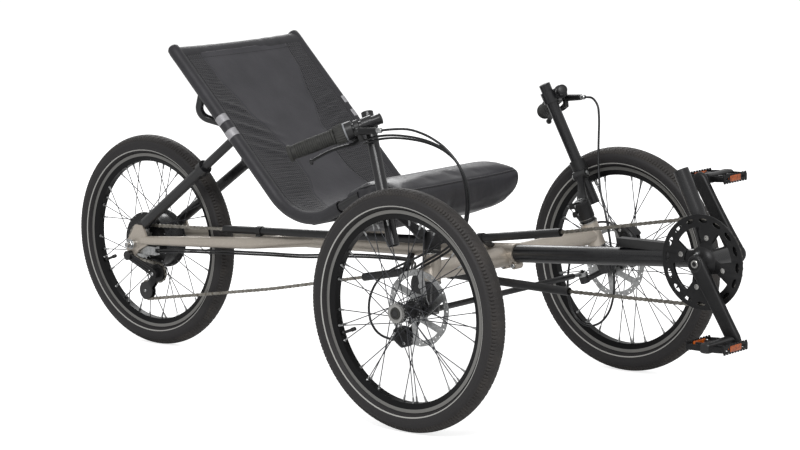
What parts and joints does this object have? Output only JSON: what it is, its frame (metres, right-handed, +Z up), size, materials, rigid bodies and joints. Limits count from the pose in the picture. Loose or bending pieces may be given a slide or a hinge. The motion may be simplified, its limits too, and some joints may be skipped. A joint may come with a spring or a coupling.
{
  "type": "recumbent tricycle",
  "caption": "Tadpole recumbent trike with two steered front wheels, a driven rear wheel, reclined sling seat, under-seat linkage and a boom with pedals.",
  "frame": {"origin": "on the ground under the middle of the whole trike", "axes": "+X ahead, +Y to the rider's left, +Z up"},
  "size_m": [2.0099, 0.8764, 0.7464],
  "materials": {
    "frame_silver": "satin metallic champagne",
    "frame_black": "black anodised",
    "bare_metal": "brushed",
    "tyre": "matt",
    "rim": "black anodised",
    "spoke": "black oxide",
    "black_metal": "satin",
    "chain": "oiled",
    "plastic": "moulded",
    "grip": "moulded",
    "fabric": "woven",
    "rotor": "ground",
    "clear_metal": "machined"
  },
  "bodies": {
    "frame": {"main_tube": "frame_silver", "cross_member": "frame_silver", "rear_stays": "frame_silver", "rear_axle": "bare_metal", "boom": "frame_black", "boom_rail": "clear_metal", "accessory_post": "frame_black", "seat_rails": "frame_black", "seat_sling": "fabric", "seat_cushion": "fabric", "seat_mount": "frame_black", "seat_struts": "frame_black", "strut_clamps": "frame_black", "chain": "chain", "chain_tubes": "plastic", "tube_clips": "plastic", "idler": "plastic", "idler_bracket": "bare_metal", "chain_tensioner": "black_metal", "shift_cable": "plastic"},
    "rear_wheel": {"rear_tyre": "tyre", "rear_rim": "rim", "rear_hub": "black_metal", "rear_spokes": "spoke", "rear_sprocket": "bare_metal"},
    "crankset": {"chainring": "black_metal", "chain_guard": "black_metal", "cranks": "black_metal"},
    "right_steering": {"right_knuckle": "black_metal", "right_caliper": "black_metal", "right_stem": "frame_black", "right_upright": "frame_black", "right_handlebar": "frame_black", "right_grip": "grip", "right_brake_lever": "black_metal", "twist_shifter": "plastic", "right_brake_cable": "plastic"},
    "right_wheel": {"right_tyre": "tyre", "right_rim": "rim", "right_hub": "black_metal", "right_spokes": "spoke", "right_rotor": "rotor"},
    "right_pedal_unit": {"right_pedal": "black_metal"},
    "left_steering": {"left_knuckle": "black_metal", "left_caliper": "black_metal", "left_stem": "frame_black", "left_upright": "frame_black", "left_handlebar": "frame_black", "left_grip": "grip", "left_brake_lever": "black_metal", "left_brake_cable": "plastic"},
    "left_wheel": {"left_tyre": "tyre", "left_rim": "rim", "left_hub": "black_metal", "left_spokes": "spoke", "left_rotor": "rotor"},
    "left_pedal_unit": {"left_pedal": "black_metal"},
    "track_rod": {"tie_rod": "black_metal", "tie_rod_ends": "bare_metal"}
  },
  "joints": [
    {"name": "rear_wheel_spin", "type": "hinge", "parent": "frame", "child": "rear_wheel", "pos_m": [-0.75303, 0, 0.252], "axis": [0, 1, 0], "continuous": true},
    {"name": "right_steer", "type": "hinge", "parent": "frame", "child": "right_steering", "pos_m": [0.36397, -0.29394, 0.252], "axis": [-0.1977, 0.285, 0.9379], "range_deg": [-30, 30], "deforming": ["shift_cable"]},
    {"name": "left_steer", "type": "hinge", "parent": "frame", "child": "left_steering", "pos_m": [0.36397, 0.29394, 0.252], "axis": [-0.1977, -0.285, 0.9379], "range_deg": [-30, 30]},
    {"name": "right_wheel_spin", "type": "hinge", "parent": "right_steering", "child": "right_wheel", "pos_m": [0.36397, -0.3705, 0.252], "axis": [0, 1, 0], "continuous": true},
    {"name": "left_wheel_spin", "type": "hinge", "parent": "left_steering", "child": "left_wheel", "pos_m": [0.36397, 0.3705, 0.252], "axis": [0, 1, 0], "continuous": true},
    {"name": "track_rod_swing", "type": "hinge", "parent": "right_steering", "child": "track_rod", "pos_m": [0.30958, -0.28574, 0.226], "axis": [-0.1431, 0.2736, 0.9511], "range_deg": [-31.45, 31.45]},
    {"name": "crank_spin", "type": "hinge", "parent": "frame", "child": "crankset", "pos_m": [0.87147, 0, 0.352], "axis": [0, 1, 0], "continuous": true},
    {"name": "right_pedal_spin", "type": "hinge", "parent": "crankset", "child": "right_pedal_unit", "pos_m": [0.95903, -0.0695, 0.20628], "axis": [0, 1, 0], "continuous": true},
    {"name": "left_pedal_spin", "type": "hinge", "parent": "crankset", "child": "left_pedal_unit", "pos_m": [0.78392, 0.0695, 0.49772], "axis": [0, 1, 0], "continuous": true}
  ],
  "couplings": [
    {"joint": "left_steer", "follows": "right_steer", "ratio": 1},
    {"joint": "track_rod_swing", "follows": "right_steer", "ratio": -1.0417}
  ]
}
